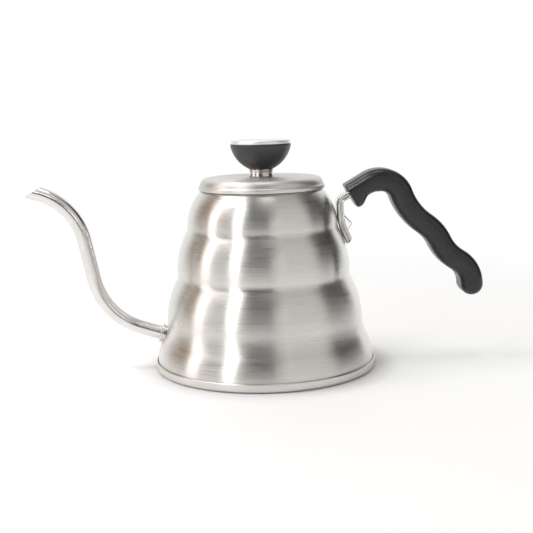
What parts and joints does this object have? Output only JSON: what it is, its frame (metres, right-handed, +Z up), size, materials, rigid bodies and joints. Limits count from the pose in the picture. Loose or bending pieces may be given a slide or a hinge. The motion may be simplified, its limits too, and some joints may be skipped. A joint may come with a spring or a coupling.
{
  "type": "gooseneck kettle",
  "caption": "Stovetop pour-over kettle with a tiered conical steel body, slim gooseneck spout, lift-off lid with a bowl-shaped knob and a wavy grip on a side bracket.",
  "frame": {"origin": "centre of the flat underside, on the surface the kettle stands on", "axes": "+Z up, the spout points along -X and the handle along +X"},
  "size_m": [0.2959, 0.144, 0.1469],
  "materials": {
    "body_steel": "fine horizontal satin brushing",
    "spout_steel": "polished stainless steel",
    "bracket_steel": "polished stainless steel",
    "fastener_steel": "plain steel",
    "grip_black": "satin black with a fine grain",
    "knob_black": "satin black",
    "cap_steel": "light satin",
    "insert_brass": "turned"
  },
  "bodies": {
    "kettle": {"body_shell": "body_steel", "base_plate": "body_steel", "spout_tube": "spout_steel", "spout_collar": "spout_steel", "handle_bracket": "bracket_steel", "bracket_gusset": "bracket_steel", "handle_grip": "grip_black", "grip_screw": "fastener_steel", "grip_nut": "fastener_steel"},
    "lid": {"lid_shell": "body_steel", "lid_ring": "body_steel", "knob_bowl": "knob_black", "knob_cap": "cap_steel", "knob_collar": "fastener_steel", "knob_insert": "insert_brass", "knob_screw": "fastener_steel", "knob_washer": "fastener_steel"}
  },
  "joints": [
    {"name": "lid_lift", "type": "slide", "parent": "kettle", "child": "lid", "axis": [0, 0, 1], "range_m": [0, 0.08]}
  ]
}
